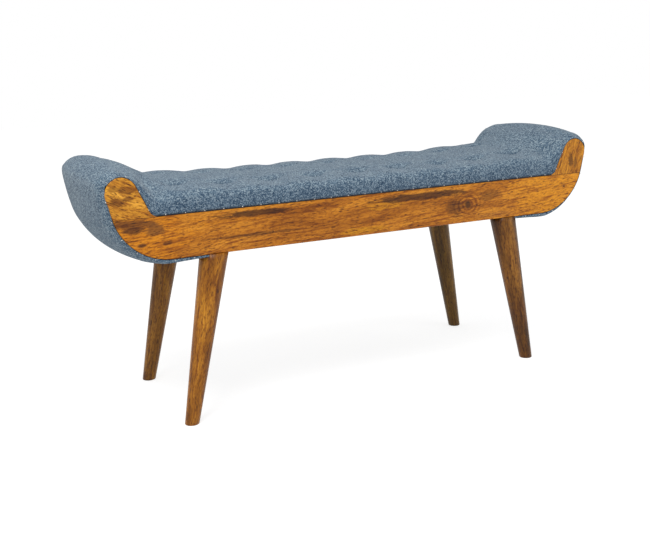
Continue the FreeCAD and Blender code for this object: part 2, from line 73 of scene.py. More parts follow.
forward = Vector((
    math.sin(camera_yaw) * math.cos(camera_pitch),
    math.cos(camera_yaw) * math.cos(camera_pitch),
    -math.sin(camera_pitch),
))
level_right = forward.cross(Vector((0, 0, 1))).normalized()
level_up = level_right.cross(forward)
right = math.cos(camera_roll) * level_right + math.sin(camera_roll) * level_up
up = -math.sin(camera_roll) * level_right + math.cos(camera_roll) * level_up

camera_data = bpy.data.cameras.new("camera")
camera_data.sensor_width = 36
camera_data.lens = focal_pixels / PHOTO_WIDTH * camera_data.sensor_width
camera = add_object("camera", camera_data)
turn = Matrix((right, up, -forward)).transposed().to_4x4()
camera.matrix_world = Matrix.Translation(camera_place) @ turn
bpy.context.scene.camera = camera
print("lens:", round(camera_data.lens, 2), "mm")

# %% [markdown]
# A product shot has soft light from all sides. The world gives an even glow, and one large lamp high over the
# left front corner gives the shapes a light and a shaded side.
# The floor is pale and takes the bench's soft shadow. To the camera it glows a little, which makes it white.

# %% Light
bpy.context.scene.view_settings.view_transform = "Standard"
WORLD_GLOW = 0.62


def new_node(tree, kind, place=(0, 0), **settings):
    """A node of a tree. Inputs are set by name with a dictionary called inputs."""
    node = tree.nodes.new(kind)
    node.location = place
    values = settings.pop("inputs", {})
    for name, value in settings.items():
        setattr(node, name, value)
    for name, value in values.items():
        node.inputs[name].default_value = value
    return node


def wire(tree, pairs):
    """Links pairs of sockets, each from an output to an input."""
    for source, target in pairs:
        tree.links.new(source, target)


def blank_material(name):
    """A material without nodes, and its tree."""
    material = bpy.data.materials.new(name)
    material.use_nodes = True
    material.node_tree.nodes.clear()
    return material, material.node_tree


def seen_rays(tree):
    """1 for what the eye sees, straight or in a reflection or through glass, and 0 for other light."""
    path = new_node(tree, "ShaderNodeLightPath", (-900, 300))
    both = new_node(tree, "ShaderNodeMath", (-700, 300), operation="MAXIMUM")
    every = new_node(tree, "ShaderNodeMath", (-500, 300), operation="MAXIMUM")
    wire(tree, [
        (path.outputs["Is Camera Ray"], both.inputs[0]),
        (path.outputs["Is Glossy Ray"], both.inputs[1]),
        (both.outputs[0], every.inputs[0]),
        (path.outputs["Is Transmission Ray"], every.inputs[1]),
    ])
    return every.outputs[0]


world = bpy.data.worlds.new("studio")
bpy.context.scene.world = world
world.use_nodes = True
tree = world.node_tree
tree.nodes.clear()
WHITE = (1, 1, 1, 1)
glow = new_node(tree, "ShaderNodeBackground", (-300, 100), inputs={"Color": WHITE, "Strength": WORLD_GLOW})
white = new_node(tree, "ShaderNodeBackground", (-300, -100), inputs={"Color": WHITE, "Strength": 1.0})
choice = new_node(tree, "ShaderNodeMixShader", (0, 0))
output = new_node(tree, "ShaderNodeOutputWorld", (200, 0))
wire(tree, [
    (seen_rays(tree), choice.inputs["Fac"]),
    (glow.outputs[0], choice.inputs[1]),
    (white.outputs[0], choice.inputs[2]),
    (choice.outputs[0], output.inputs["Surface"]),
])


def add_lamp(name, place, aim, size, power):
    """A square area lamp that points at a spot."""
    data = bpy.data.lights.new(name, "AREA")
    data.shape = "SQUARE"
    data.size = size
    data.energy = power
    lamp = add_object(name, data)
    lamp.location = place
    lamp.rotation_mode = "QUATERNION"
    lamp.rotation_quaternion = (Vector(aim) - Vector(place)).to_track_quat("-Z", "Y")
    return lamp


add_lamp("key", (-1.3, -1.2, 2.9), (0, 0, 0.3), 1.3, 52)
add_lamp("fill", (2.4, -2.2, 1.6), (0, 0, 0.3), 1.8, 14)

# %% Floor
FLOOR_SIZE = 14.0
FLOOR_LIFT = 0.76
floor_mesh = bpy.data.meshes.new("floor")
half = FLOOR_SIZE / 2
corners = [(-half, -half, 0), (half, -half, 0), (half, half, 0), (-half, half, 0)]
floor_mesh.from_pydata(corners, [], [(0, 1, 2, 3)])
floor = add_object("floor", floor_mesh)
paint, tree = blank_material("pale_floor")
matt = new_node(tree, "ShaderNodeBsdfDiffuse", (-300, 200), inputs={"Color": (0.82, 0.82, 0.82, 1)})
dim = new_node(tree, "ShaderNodeBsdfDiffuse", (-500, 0), inputs={"Color": (0.42, 0.42, 0.42, 1)})
lift = new_node(tree, "ShaderNodeEmission", (-500, -150), inputs={"Color": WHITE, "Strength": FLOOR_LIFT})
seen = new_node(tree, "ShaderNodeAddShader", (-300, -50))
choice = new_node(tree, "ShaderNodeMixShader", (0, 0))
output = new_node(tree, "ShaderNodeOutputMaterial", (200, 0))
wire(tree, [
    (dim.outputs[0], seen.inputs[0]),
    (lift.outputs[0], seen.inputs[1]),
    (seen_rays(tree), choice.inputs["Fac"]),
    (matt.outputs[0], choice.inputs[1]),
    (seen.outputs[0], choice.inputs[2]),
    (choice.outputs[0], output.inputs["Surface"]),
])
floor_mesh.materials.append(paint)
print("floor:", FLOOR_SIZE, "m")

# %% [markdown]
# The padding is one cloth from under the left end, over the arm, along the seat and round the other end.
# It has no seam, so it is one mesh: a grid of cross-sections that travel along the wood's outline.
# Four lines guide a cross-section: its root on the wood, the top of its upright wall, the shoulder
# where the rolled edge ends, and the crown in the middle.

# %% Sizes of the padding
MM = 0.001
rail_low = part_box("front_rail")[0]
ear_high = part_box("front_right_ear")[1]
HALF_LENGTH = ear_high.x
RAIL_BOTTOM = rail_low.z
RAIL_TOP = 423 * MM
PAD_HALF = 161.5 * MM
SKIN_GAP = 0.5 * MM
GRID_STEP = 4 * MM

# The wood's outline on the right: the ear's round tip, the lower arc and the straight inner slope
TIP_RADIUS = 30 * MM
TIP = (HALF_LENGTH - TIP_RADIUS, ear_high.z - TIP_RADIUS)
ARC_RADIUS = 113 * MM
ARC = (HALF_LENGTH - 120 * MM, RAIL_BOTTOM + ARC_RADIUS)
SLOPE_FOOT = HALF_LENGTH - 85.5 * MM
SLOPE_ANGLE = 65
SLOPE_RISE = math.tan(math.radians(SLOPE_ANGLE))
LAST_TUFT = 400 * MM
print("half length:", round(HALF_LENGTH, 3), "rail:", round(RAIL_BOTTOM, 3), round(RAIL_TOP, 3))

# %% Guides of the seat
CLIMB_START, CLIMB_REACH, CLIMB_HEIGHT = 200 * MM, 226 * MM, 12 * MM
WALL_HEIGHT, SHOULDER_HEIGHT, CROWN_HEIGHT = 24 * MM, 40 * MM, 46 * MM


def end_climb(x):
    """How much the seat climbs towards the arms."""
    beyond = max(0.0, abs(x) - CLIMB_START) / CLIMB_REACH
    return CLIMB_HEIGHT * beyond * beyond


def seat_guides(x):
    """Root, wall, shoulder and crown of the seat at a place along it, each as (x, z)."""
    climb = end_climb(x)
    return (
        (x, RAIL_TOP + SKIN_GAP),
        (x, RAIL_TOP + WALL_HEIGHT + climb * 0.5),
        (x, RAIL_TOP + SHOULDER_HEIGHT + climb * 0.8),
        (x, RAIL_TOP + CROWN_HEIGHT + climb),
    )


def outline_height(x):
    """Height of the wood's upper outline on the inner side of the ear."""
    slope = RAIL_TOP + max(0.0, x - SLOPE_FOOT) * SLOPE_RISE
    touch = TIP[0] - TIP_RADIUS * math.cos(math.radians(90 - SLOPE_ANGLE))
    if x < touch:
        return slope
    return TIP[1] + math.sqrt(max(0.0, TIP_RADIUS ** 2 - (x - TIP[0]) ** 2))


def round_guides(centre, radius, degrees, heights):
    """The four guide points at an angle round a circle of the outline."""
    angle = math.radians(degrees)
    return tuple(
        (centre[0] + (radius + h) * math.cos(angle), centre[1] + (radius + h) * math.sin(angle))
        for h in (SKIN_GAP, *heights)
    )


# %% Guides of the right arm
# Inner slope: x, then the heights of wall, shoulder and crown over the floor, in millimetres
ramp_rows = [
    (424, 447, 470, 482),
    (440, 447, 467, 489),
    (454, 451, 468, 496),
    (465, 460, 474, 502),
    (475, 471, 487, 507),
    (484, 482, 496, 510.5),
    (494, 492, 501, 514),
    (506, 500, 505, 517),
]
# Round the tip and the lower arc: angle, then wall, shoulder and crown over the wood
tip_rows = [(90, 3, 12, 20.5), (65, 1.5, 15, 25), (40, 0.9, 17.5, 28), (15, 0.7, 16, 27)]
arc_rows = [
    (-14, 0.7, 14.5, 26),
    (-30, 0.8, 14.5, 25),
    (-47, 1.2, 15, 24.5),
    (-64, 4, 15, 22.5),
    (-80, 7, 13.5, 20),
]
# Underside: x, then the same heights
under_rows = [
    (430, 7.5, 12.5, 18),
    (404, 6.5, 10.5, 15),
    (378, 5.5, 8.5, 11),
    (358, 4.5, 6.5, 8),
    (350, 1.5, 2, 2.5),
]

rows = [seat_guides(LAST_TUFT)]
for x, *heights in ramp_rows:
    root = outline_height(x * MM) + SKIN_GAP
    rows.append(((x * MM, root), *((x * MM, h * MM) for h in heights)))
for degrees, *heights in tip_rows:
    rows.append(round_guides(TIP, TIP_RADIUS, degrees, [h * MM for h in heights]))
for degrees, *heights in arc_rows:
    rows.append(round_guides(ARC, ARC_RADIUS, degrees, [h * MM for h in heights]))
for x, *heights in under_rows:
    rows.append(tuple((x * MM, RAIL_BOTTOM - h) for h in (SKIN_GAP, *(v * MM for v in heights))))
arm_rows = np.array(rows)
print("guide rows round an arm:", len(arm_rows))

# %% Smooth guides


def smooth_rows(points, step):
    """A Catmull-Rom curve through rows of guide points, sampled about every step along the crown."""
    first = 2 * points[0] - points[1]
    last = 2 * points[-1] - points[-2]
    padded = np.concatenate([first[None], points, last[None]])
    made = []
    for i in range(1, len(padded) - 2):
        a, b, c, d = padded[i - 1:i + 3]
        count = max(1, round(float(np.linalg.norm(c[3] - b[3])) / step))
        for t in np.arange(count) / count:
            made.append(0.5 * (2 * b + (c - a) * t + (2 * a - 5 * b + 4 * c - d) * t ** 2
                               + (3 * b - a - 3 * c + d) * t ** 3))
    return np.array(made + [points[-1]])


seat_count = round(2 * LAST_TUFT / GRID_STEP)
seat_rows = np.array([seat_guides(x) for x in np.linspace(-LAST_TUFT, LAST_TUFT, seat_count + 1)[1:-1]])
right_rows = smooth_rows(arm_rows, GRID_STEP)
left_rows = right_rows[::-1] * np.array([-1, 1])
guides = np.concatenate([left_rows, seat_rows, right_rows])
print("cross-sections:", len(guides))

# %% [markdown]
# Across, every cross-section has the same points: up the wall, round the rolled edge and over the crown.
# The wall leans out a little, as stuffed cloth does between the staples and the edge.
# The seat has a tight, round roll. On the arms the padding is pulled over a wider edge, which starts as a
# slope.

# %% Cross-sections
WALL_POINTS, ROLL_POINTS, TOP_POINTS = 6, 8, 36
SEAT_ROLL, ARM_ROLL = 19 * MM, 34 * MM
SEAT_SOFTNESS, ARM_SOFTNESS = 1.0, 1.9
ROLL_BLEND = 60 * MM
CROWN_POWER = 2.2
WALL_BULGE = 1.2 * MM


def across(guide, roll, softness):
    """
    One side of a cross-section from the root to the crown, as (y, x, z) rows.
    roll is the edge's radius. softness 1 makes the edge round, and 2 makes it a slope.
    """
    root, wall, shoulder, crown = guide
    inside = PAD_HALF - roll
    points = []
    for t in np.arange(WALL_POINTS) / WALL_POINTS:
        place = root + (wall - root) * t
        points.append((PAD_HALF + WALL_BULGE * math.sin(math.pi * t * 0.9), *place))
    lean = WALL_BULGE * math.sin(math.pi * 0.9)
    for t in np.arange(ROLL_POINTS) / ROLL_POINTS:
        turn = t * math.pi / 2
        place = wall + (shoulder - wall) * math.sin(turn) ** softness
        points.append((inside + (roll + lean) * math.cos(turn), *place))
    for t in np.arange(TOP_POINTS + 1) / TOP_POINTS:
        y = inside * (1 - t)
        place = shoulder + (crown - shoulder) * (1 - (y / inside) ** CROWN_POWER)
        points.append((y, *place))
    return np.array(points)


def full_section(guide):
    """A whole cross-section from the front root to the back root, as (x, y, z) rows."""
    crown_x, crown_z = guide[3]
    on_seat = np.clip((LAST_TUFT + ROLL_BLEND - abs(crown_x)) / ROLL_BLEND, 0, 1) * (crown_z > RAIL_TOP)
    roll = SEAT_ROLL * on_seat + ARM_ROLL * (1 - on_seat)
    softness = SEAT_SOFTNESS * on_seat + ARM_SOFTNESS * (1 - on_seat)
    back = across(guide, roll, softness)
    front = back * np.array([-1, 1, 1])
    whole = np.concatenate([front, back[-2::-1]])
    return whole[:, [1, 0, 2]]


grid = np.array([full_section(guide) for guide in guides])
print("grid:", grid.shape)

# %% [markdown]
# The tufts are blind: the cloth is pulled down by twine from below, with no button.
# Each makes a dimple and a short crease on its near lip. A shallow valley crosses the seat at every column,
# which scallops both edges.

# %% Tufts
TUFT_COLUMNS = 9
TUFT_PITCH = 2 * LAST_TUFT / (TUFT_COLUMNS - 1)
TUFT_ROW = 75 * MM
tuft_xs = [-LAST_TUFT + i * TUFT_PITCH for i in range(TUFT_COLUMNS)]
# A dimple is an oval, and its crease a bow on the near side of it
DIMPLE_DEPTH, DIMPLE_WIDTH, DIMPLE_STRETCH, DIMPLE_SHIFT = 9.5 * MM, 15 * MM, 1.8, 8 * MM
CREASE_DEPTH, CREASE_WIDTH, CREASE_LENGTH = 5.4 * MM, 3.4 * MM, 24 * MM
CREASE_SHIFT, CREASE_BEND = 17 * MM, 70 * MM
# A valley runs across at each column, deeper at the edges, and a faint one along each row
VALLEY_DEPTH, VALLEY_EDGE_DEPTH, VALLEY_WIDTH = 2.0 * MM, 2.4 * MM, 24 * MM
VALLEY_START, VALLEY_REACH = 40 * MM, 80 * MM
ROW_DEPTH, ROW_WIDTH = 1.2 * MM, 9 * MM
# Past the last column the pull fades out, before the arm begins
FADE_END, FADE_LENGTH = 45 * MM, 30 * MM


def bell(distance, width):
    """A smooth bump, 1 at no distance and near 0 at twice its width."""
    return np.exp(-(distance / width) ** 2)


def tuft_depth(x, y):
    """How far the cloth is pulled down at a place on the seat."""
    depth = ROW_DEPTH * bell(np.abs(y) - TUFT_ROW, ROW_WIDTH) * (np.abs(x) < LAST_TUFT)
    valley = VALLEY_DEPTH + VALLEY_EDGE_DEPTH * np.clip((np.abs(y) - VALLEY_START) / VALLEY_REACH, 0, 1)
    for place in tuft_xs:
        away = x - place
        depth = depth + valley * bell(away, VALLEY_WIDTH)
        for side in (-1, 1):
            over = y - side * TUFT_ROW
            from_dimple = np.hypot(away / DIMPLE_STRETCH, over + DIMPLE_SHIFT)
            depth = depth + DIMPLE_DEPTH * bell(from_dimple, DIMPLE_WIDTH)
            crease = over + CREASE_SHIFT - away ** 2 / CREASE_BEND
            depth = depth + CREASE_DEPTH * bell(crease, CREASE_WIDTH) * bell(away, CREASE_LENGTH)
    return depth


x, y, z = grid[:, :, 0], grid[:, :, 1], grid[:, :, 2]
EDGE_POINTS = WALL_POINTS + ROLL_POINTS
middle = grid.shape[1] // 2
from_middle = np.abs(np.arange(grid.shape[1]) - middle)
free = np.clip((middle - from_middle) / EDGE_POINTS, 0, 1)[None, :]
near_seat = np.clip((LAST_TUFT + FADE_END - np.abs(x)) / FADE_LENGTH, 0, 1) * (z > RAIL_TOP)
pull = tuft_depth(x, y) * near_seat * free
grid[:, :, 2] -= pull
print("deepest pull:", round(float(pull.max()) / MM, 1), "mm")

# %% [markdown]
# The grid becomes one closed mesh. Its UVs are measured in metres along and across the cloth, so the weave
# doesn't stretch where the cloth turns. Two attributes travel with it: how near a point is to the wood, and
# how far it is tucked in at a tuft. The material paints shade with both: a darker and bluer wall, a dark
# shadow line at the wood, and shade in the tufts.

# %% Cover mesh


def grid_mesh(name, points):
    """A closed mesh from cross-sections: the grid, its flat underside and its end caps. UVs are in metres."""
    count, width = points.shape[:2]
    ids = np.arange(count * width).reshape(count, width)
    faces, uvs = [], []
    middle = width // 2
    along = np.concatenate([[0], np.cumsum(np.linalg.norm(np.diff(points[:, middle], axis=0), axis=1))])
    steps = np.linalg.norm(np.diff(points, axis=1), axis=2)
    over = np.concatenate([np.zeros((count, 1)), np.cumsum(steps, axis=1)], 1)
    over -= over[:, middle:middle + 1]
    for i in range(count - 1):
        for j in range(width - 1):
            corners = ((i, j), (i + 1, j), (i + 1, j + 1), (i, j + 1))
            faces.append([int(ids[c]) for c in corners])
            uvs += [(along[a], over[a, b]) for a, b in corners]
        corners = ((i, 0), (i, width - 1), (i + 1, width - 1), (i + 1, 0))
        faces.append([int(ids[c]) for c in corners])
        uvs += [(along[a], over[a, b]) for a, b in corners]
    for i in (0, count - 1):
        order = range(width) if i == 0 else range(width - 1, -1, -1)
        faces.append([int(ids[i, j]) for j in order])
        uvs += [(along[i], over[i, j]) for j in order]
    mesh = bpy.data.meshes.new(name)
    mesh.from_pydata([tuple(p) for p in points.reshape(-1, 3)], [], faces)
    layer = mesh.uv_layers.new(name="cloth")
    layer.data.foreach_set("uv", np.array(uvs, np.float32).ravel())
    mesh.polygons.foreach_set("use_smooth", [True] * len(mesh.polygons))
    mesh.update()
    return mesh


cover = add_object("tweed_cover", grid_mesh("tweed_cover", grid))
# near_wood is 1 at the wood and falls to 0 past the rolled edge. The material paints the wall's shade and the
# shadow line at the wood from it.
steps_in = np.minimum(np.arange(grid.shape[1]), np.arange(grid.shape[1])[::-1])
near_wood = np.clip(1 - steps_in / EDGE_POINTS, 0, 1)[None, :] * np.ones((len(grid), 1))
# tucked masks where the material paints shade in the tufts, at pulls deeper than 6 mm.
TUCK_START, TUCK_REACH = 6 * MM, 8 * MM
tucked = np.clip((pull - TUCK_START) / TUCK_REACH, 0, 1)
for name, values in (("near_wood", near_wood), ("tucked", tucked)):
    layer = cover.data.attributes.new(name, "FLOAT", "POINT")
    layer.data.foreach_set("value", values.astype(np.float32).ravel())
print("cover:", len(cover.data.polygons), "faces")

# %% Cover in place
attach(cover, "root")
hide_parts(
    "seat_cover", "left_end_cover", "right_end_cover",
    "seat_foam", "left_end_foam", "right_end_foam",
)

# %% [markdown]
# The legs are turned, so they are made round here: rings of points on a leaning cone, cut level at both ends.
# Each point also keeps its place along and across its own leg, so that the grain can run down every leg.

# %% Legs
LEG_SIDES = 64
LEG_TOP = (HALF_LENGTH - 209 * MM, 140 * MM, RAIL_BOTTOM)
LEG_FOOT = (HALF_LENGTH - 141 * MM, 149.5 * MM, 0.0)
LEG_TOP_RADIUS, LEG_FOOT_RADIUS = 28 * MM, 14.2 * MM
LEG_EDGE = 1.5 * MM
GRAIN_SHIFT = 1.7


def leg_mesh(name, side_x, side_y, offset):
    """One tapered leg. offset moves its grain, so that no two legs are alike."""
    top = Vector((LEG_TOP[0] * side_x, LEG_TOP[1] * side_y, LEG_TOP[2]))
    foot = Vector((LEG_FOOT[0] * side_x, LEG_FOOT[1] * side_y, LEG_FOOT[2]))
    axis = (top - foot).normalized()
    level = axis.cross(Vector((0, 1, 0))).normalized()
    other = axis.cross(level)
    # Each ring has a height and an inset, which eases the edge of the foot
    rings = [(0.0, LEG_EDGE), (0.4 * MM, 0.5 * MM), (LEG_EDGE, 0.0)]
    rings += [(z, 0.0) for z in np.linspace(8 * MM, RAIL_BOTTOM, 24)]
    points, grain = [], []
    for z, inset in rings:
        for i in range(LEG_SIDES):
            angle = 2 * math.pi * i / LEG_SIDES
            way = level * math.cos(angle) + other * math.sin(angle)
            low = foot + way * (LEG_FOOT_RADIUS - inset)
            high = top + way * (LEG_TOP_RADIUS - inset)
            place = low + (high - low) * ((z - low.z) / (high.z - low.z))
            points.append(place)
            out = place - foot
            grain += [out.dot(axis) + offset, out.dot(level), out.dot(other) + offset]
    faces = []
    for r in range(len(rings) - 1):
        for i in range(LEG_SIDES):
            a, b = r * LEG_SIDES + i, r * LEG_SIDES + (i + 1) % LEG_SIDES
            faces.append((a, b, b + LEG_SIDES, a + LEG_SIDES))
    last = (len(rings) - 1) * LEG_SIDES
    faces.append(tuple(range(LEG_SIDES - 1, -1, -1)))
    faces.append(tuple(range(last, last + LEG_SIDES)))
    mesh = bpy.data.meshes.new(name)
    mesh.from_pydata([tuple(p) for p in points], [], faces)
    along = mesh.attributes.new("grain", "FLOAT_VECTOR", "POINT")
    along.data.foreach_set("vector", grain)
    smooth = [True] * (len(faces) - 2) + [False, False]
    mesh.polygons.foreach_set("use_smooth", smooth)
    if sum(f.normal.dot(f.center - (top + foot) / 2) for f in mesh.polygons) < 0:
        mesh.flip_normals()
    return mesh


legs = {}
for index, (side_x, side_y, corner) in enumerate(
    [(-1, -1, "front_left"), (1, -1, "front_right"), (-1, 1, "back_left"), (1, 1, "back_right")]
):
    name = "turned_leg_" + corner
    leg = add_object(name, leg_mesh(name, side_x, side_y, GRAIN_SHIFT * index))
    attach(leg, "root")
    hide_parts(corner + "_leg")
    legs[corner] = leg
print("legs:", sorted(legs))

# %% [markdown]
# Under the seat hangs a thin black lining, stapled along the rails. It is stretched, but sags a little in the
# middle. A grid of points with a shallow belly is all it needs.

# %% Lining
lining_low, lining_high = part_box("dust_cover")
LINING_SAG = 2.5 * MM
columns, rows_across = 49, 25
points, faces = [], []
for i in range(columns):
    for j in range(rows_across):
        u, v = i / (columns - 1), j / (rows_across - 1)
        x = lining_low.x + (lining_high.x - lining_low.x) * u
        y = lining_low.y + (lining_high.y - lining_low.y) * v
        belly = (math.sin(math.pi * u) * math.sin(math.pi * v)) ** 0.8
        points.append((x, y, lining_high.z - 0.5 * MM - LINING_SAG * belly))
for i in range(columns - 1):
    for j in range(rows_across - 1):
        a = i * rows_across + j
        faces.append((a, a + 1, a + rows_across + 1, a + rows_across))
lining_mesh = bpy.data.meshes.new("under_lining")
lining_mesh.from_pydata(points, [], faces)
lining_mesh.polygons.foreach_set("use_smooth", [True] * len(faces))
lining = add_object("under_lining", lining_mesh)
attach(lining, "root")
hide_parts("dust_cover")

# %% [markdown]
# Grain and weave are used by many materials, so each is a shader group, built once and placed in every
# material with its own values. These helpers make a group, a stretched noise and an eased range.

# %% Helpers for shaders


def colour(code):
    """A hex colour as the linear colour that a shader expects."""
    parts = [int(code[i:i + 2], 16) / 255 for i in (1, 3, 5)]
    return tuple(v / 12.92 if v <= 0.04045 else ((v + 0.055) / 1.055) ** 2.4 for v in parts) + (1.0,)


def new_group(name, inputs, outputs):
    """An empty shader group with its sockets, and its first and last node."""
    group = bpy.data.node_groups.new(name, "ShaderNodeTree")
    for label, kind, value in inputs:
        socket = group.interface.new_socket(label, in_out="INPUT", socket_type="NodeSocket" + kind)
        if value is not None:
            socket.default_value = value
    for label, kind in outputs:
        group.interface.new_socket(label, in_out="OUTPUT", socket_type="NodeSocket" + kind)
    return group, new_node(group, "NodeGroupInput", (-1400, 0)), new_node(group, "NodeGroupOutput", (600, 0))


def stretched_noise(tree, vector, stretch, detail, x, y, rough=0.55):
    """Noise whose cells are as long as 1 / stretch in each direction."""
    scale = new_node(tree, "ShaderNodeVectorMath", (x, y), operation="MULTIPLY")
    scale.inputs[1].default_value = stretch
    noise = new_node(tree, "ShaderNodeTexNoise", (x + 180, y),
                     inputs={"Scale": 1.0, "Detail": detail, "Roughness": rough})
    wire(tree, [(vector, scale.inputs[0]), (scale.outputs[0], noise.inputs["Vector"])])
    return noise.outputs["Fac"]


def remap(tree, value, low, high, x, y, to=(0.0, 1.0)):
    """A value eased from the range low to high into the range to."""
    node = new_node(tree, "ShaderNodeMapRange", (x, y), interpolation_type="SMOOTHSTEP")
    node.inputs["From Min"].default_value, node.inputs["From Max"].default_value = low, high
    node.inputs["To Min"].default_value, node.inputs["To Max"].default_value = to
    tree.links.new(value, node.inputs["Value"])
    return node.outputs["Result"]


print("a brown as linear light:", [round(v, 3) for v in colour("#A2671E")])

# %% [markdown]
# The wood is mango, sawn so that its figure changes along each board. One group makes the grain for every
# wooden piece: a slow figure, thin streaks, specks and open pores, all stretched along X.

# %% Grain group
grain_group, start, end = new_group(
    "wood_grain",
    [("Place", "Vector", None), ("Waviness", "Float", 0.01)],
    [("Figure", "Float"), ("Streaks", "Float"), ("Pores", "Float"), ("Mottle", "Float"), ("Relief", "Float")],
)
bend = new_node(grain_group, "ShaderNodeTexNoise", (-1200, 250), inputs={"Scale": 6.0, "Detail": 2.0})
centred = new_node(grain_group, "ShaderNodeVectorMath", (-1000, 250), operation="SUBTRACT")
centred.inputs[1].default_value = (0.5, 0.5, 0.5)
swing = new_node(grain_group, "ShaderNodeVectorMath", (-820, 250), operation="SCALE")
bent = new_node(grain_group, "ShaderNodeVectorMath", (-640, 150), operation="ADD")
wire(grain_group, [
    (start.outputs["Place"], bend.inputs["Vector"]),
    (bend.outputs["Color"], centred.inputs[0]),
    (centred.outputs[0], swing.inputs[0]),
    (start.outputs["Waviness"], swing.inputs["Scale"]),
    (start.outputs["Place"], bent.inputs[0]),
    (swing.outputs[0], bent.inputs[1]),
])
figure = stretched_noise(grain_group, bent.outputs[0], (6, 45, 45), 5, -440, 300, 0.6)
streaks = stretched_noise(grain_group, bent.outputs[0], (14, 260, 260), 3, -440, 100)
pores = stretched_noise(grain_group, bent.outputs[0], (70, 520, 520), 1, -440, -100)
pore_mask = remap(grain_group, pores, 0.60, 0.70, 0, -100)
mottle = stretched_noise(grain_group, bent.outputs[0], (110, 330, 330), 4, -440, -400, 0.7)
grain_group.links.new(mottle, end.inputs["Mottle"])
relief = new_node(grain_group, "ShaderNodeMath", (200, -250), operation="SUBTRACT")
wire(grain_group, [
    (streaks, relief.inputs[0]),
    (pore_mask, relief.inputs[1]),
    (figure, end.inputs["Figure"]),
    (streaks, end.inputs["Streaks"]),
    (pore_mask, end.inputs["Pores"]),
    (relief.outputs[0], end.inputs["Relief"]),
])
print("grain group:", len(grain_group.nodes), "nodes")

# %% [markdown]
# Real boards have places of another colour. A patch is an ellipsoid whose edge is frayed by noise. It gives a
# mask for the colour, and the plain distance, from which a knot takes its rings.

# %% Patch group
RAGGED_EDGE = 2.2
patch_group, start, end = new_group(
    "wood_patch",
    [("Place", "Vector", None), ("Middle", "Vector", None), ("Reach", "Vector", None),
     ("Raggedness", "Float", RAGGED_EDGE)],
    [("Mask", "Float"), ("Distance", "Float")],
)
away = new_node(patch_group, "ShaderNodeVectorMath", (-1200, 0), operation="SUBTRACT")
share = new_node(patch_group, "ShaderNodeVectorMath", (-1000, 0), operation="DIVIDE")
length = new_node(patch_group, "ShaderNodeVectorMath", (-820, 0), operation="LENGTH")
ragged = stretched_noise(patch_group, start.outputs["Place"], (34, 150, 150), 7, -1200, -250, 0.7)
shift = new_node(patch_group, "ShaderNodeMath", (-820, -250), operation="SUBTRACT")
shift.inputs[1].default_value = 0.5
rough_edge = new_node(patch_group, "ShaderNodeMath", (-640, -250), operation="MULTIPLY")
total = new_node(patch_group, "ShaderNodeMath", (-460, -100), operation="ADD")
wire(patch_group, [
    (start.outputs["Place"], away.inputs[0]),
    (start.outputs["Middle"], away.inputs[1]),
    (away.outputs[0], share.inputs[0]),
    (start.outputs["Reach"], share.inputs[1]),
    (share.outputs[0], length.inputs[0]),
    (ragged, shift.inputs[0]),
    (shift.outputs[0], rough_edge.inputs[0]),
    (start.outputs["Raggedness"], rough_edge.inputs[1]),
    (length.outputs["Value"], total.inputs[0]),
    (rough_edge.outputs[0], total.inputs[1]),
    (remap(patch_group, total.outputs[0], 1.2, 0.7, -260, -100), end.inputs["Mask"]),
    (length.outputs["Value"], end.inputs["Distance"]),
])
print("patch group:", len(patch_group.nodes), "nodes")

# %% [markdown]
# A wooden material mixes three tones by the figure and lays patches over them: sapwood, heartwood and knots,
# each an ellipse with a ragged edge. Then it darkens streaks, specks and pores, and the oil tints it yellow.
# The finish is satin: a thin, slightly rough coat. A painted picture could cover one board only, but these
# nodes give every board its own.

# %% Tones and helpers of the wood
OIL_TINT = "#FFFCC4"
STREAK_SHADE, SPECK_SHADE, PORE_SHADE = "#93612F", "#96683A", "#5E3A1A"
RING_SHADE, CORE_SHADE, GLUE_SHADE = "#8A5A22", "#5A3410", "#4E2C0C"
RING_TURN = 22.0
SATIN_COAT = {"Coat Weight": 0.06, "Coat Roughness": 0.22, "Specular IOR Level": 0.22}
BARE_WOOD = {"Coat Weight": 0.0, "Coat Roughness": 0.22, "Specular IOR Level": 0.22}


def blend_colour(tree, kind, x, y, fac=None, first=None, second=None):
    """A colour mix. fac, first and second are each a socket to link or a value to set."""
    mix = new_node(tree, "ShaderNodeMix", (x, y), data_type="RGBA", blend_type=kind)
    for index, source in ((0, fac), (6, first), (7, second)):
        if isinstance(source, bpy.types.NodeSocket):
            tree.links.new(source, mix.inputs[index])
        elif source is not None:
            mix.inputs[index].default_value = source
    return mix.outputs[2]


def scaled(tree, value, factor, x, y):
    """A value times a plain number."""
    node = new_node(tree, "ShaderNodeMath", (x, y), operation="MULTIPLY")
    node.inputs[1].default_value = factor
    tree.links.new(value, node.inputs[0])
    return node.outputs[0]


def warped(tree, vector, amount, x, y):
    """A place pushed about by noise, so that a ring drawn with it isn't a true circle."""
    noise = new_node(tree, "ShaderNodeTexNoise", (x, y), inputs={"Scale": 38.0, "Detail": 3.0})
    push = new_node(tree, "ShaderNodeVectorMath", (x + 180, y), operation="MULTIPLY_ADD")
    push.inputs[1].default_value = (amount, amount, amount)
    wire(tree, [
        (vector, noise.inputs["Vector"]),
        (noise.outputs["Color"], push.inputs[0]),
        (vector, push.inputs[2]),
    ])
    return push.outputs[0]


print("oil tint:", OIL_TINT)

# %% Wood material


